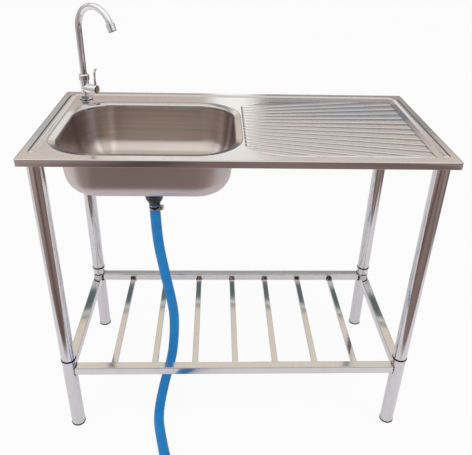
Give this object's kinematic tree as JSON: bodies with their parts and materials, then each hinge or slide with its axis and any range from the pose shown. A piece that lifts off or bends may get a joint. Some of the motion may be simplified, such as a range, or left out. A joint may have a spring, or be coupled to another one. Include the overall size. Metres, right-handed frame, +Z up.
{
  "type": "kitchen sink unit",
  "caption": "Free-standing steel kitchen sink unit with a bowl, ribbed drainboard, gooseneck swivel tap, waste with drain hose, and a tube stand with a slatted shelf.",
  "frame": {"origin": "on the floor under the middle of the sink top", "axes": "+X along the sink from the bowl to the drainboard, +Y from the user's side to the back, +Z up"},
  "size_m": [1, 0.7726, 1.1185],
  "materials": {
    "sink_steel": "pressed stainless sheet, satin polished",
    "leg_tube": "bright polished stainless tube",
    "shelf_tube": "polished stainless tube, fine lengthwise grain",
    "weld_steel": "ground weld metal",
    "bracket_steel": "zinc-plated steel plate",
    "black_plastic": "moulded, fine texture",
    "waste_plastic": "moulded blue-black plastic",
    "seal_rubber": "matt rubber",
    "hose_pvc": "flexible blue hose, faint braid under the skin",
    "fastener_steel": "bright steel",
    "tap_chrome": "chrome plate on brass",
    "tap_brass": "turned brass",
    "aerator_plastic": "moulded insert",
    "cap_amber": "clear-lacquered amber cap, faceted"
  },
  "bodies": {
    "root": {"sink_top": "sink_steel", "bowl": "sink_steel", "strainer": "sink_steel", "strainer_seal": "seal_rubber", "waste_seal": "seal_rubber", "waste_body": "waste_plastic", "waste_screw": "fastener_steel", "drain_hose": "hose_pvc", "hose_clamp_band": "fastener_steel", "hose_clamp_housing": "fastener_steel", "hose_clamp_screw": "fastener_steel", "tap_base_washer": "seal_rubber", "tap_base_nut": "tap_chrome", "tap_body": "tap_chrome", "tap_back_washer": "seal_rubber", "tap_back_nut": "tap_brass", "tap_cartridge": "tap_brass", "spout_collar": "tap_chrome", "rail_front": "shelf_tube", "rail_back": "shelf_tube", "rail_left": "shelf_tube", "rail_right": "shelf_tube", "rail_welds": "weld_steel", "slat_welds": "weld_steel", "leg_head_plugs": "weld_steel", "bracket_front_left": "bracket_steel", "bracket_front_right": "bracket_steel", "bracket_back_left": "bracket_steel", "bracket_back_right": "bracket_steel", "upper_leg_front_left": "leg_tube", "upper_leg_front_right": "leg_tube", "upper_leg_back_left": "leg_tube", "upper_leg_back_right": "leg_tube", "leg_joiner_front_left": "black_plastic", "leg_joiner_front_right": "black_plastic", "leg_joiner_back_left": "black_plastic", "leg_joiner_back_right": "black_plastic", "lower_leg_front_left": "leg_tube", "lower_leg_front_right": "leg_tube", "lower_leg_back_left": "leg_tube", "lower_leg_back_right": "leg_tube", "foot_cap_front_left": "black_plastic", "foot_cap_front_right": "black_plastic", "foot_cap_back_left": "black_plastic", "foot_cap_back_right": "black_plastic", "slat_1": "shelf_tube", "slat_2": "shelf_tube", "slat_3": "shelf_tube", "slat_4": "shelf_tube", "slat_5": "shelf_tube", "slat_6": "shelf_tube", "slat_7": "shelf_tube"},
    "spout": {"spout_tube": "tap_chrome", "spout_o_ring": "seal_rubber", "aerator_shell": "tap_chrome", "aerator_insert": "aerator_plastic"},
    "lever": {"tap_lever": "tap_chrome", "valve_spindle": "tap_brass", "lever_screw": "fastener_steel", "index_cap": "cap_amber"}
  },
  "joints": [
    {"name": "spout_swivel", "type": "hinge", "parent": "root", "child": "spout", "pos_m": [-0.43, 0.19, 0.9], "axis": [0, 0, 1], "continuous": true},
    {"name": "lever_turn", "type": "hinge", "parent": "root", "child": "lever", "pos_m": [-0.43, 0.19, 0.886], "axis": [0.8829, -0.4695, 0], "range_deg": [0, 90]}
  ]
}
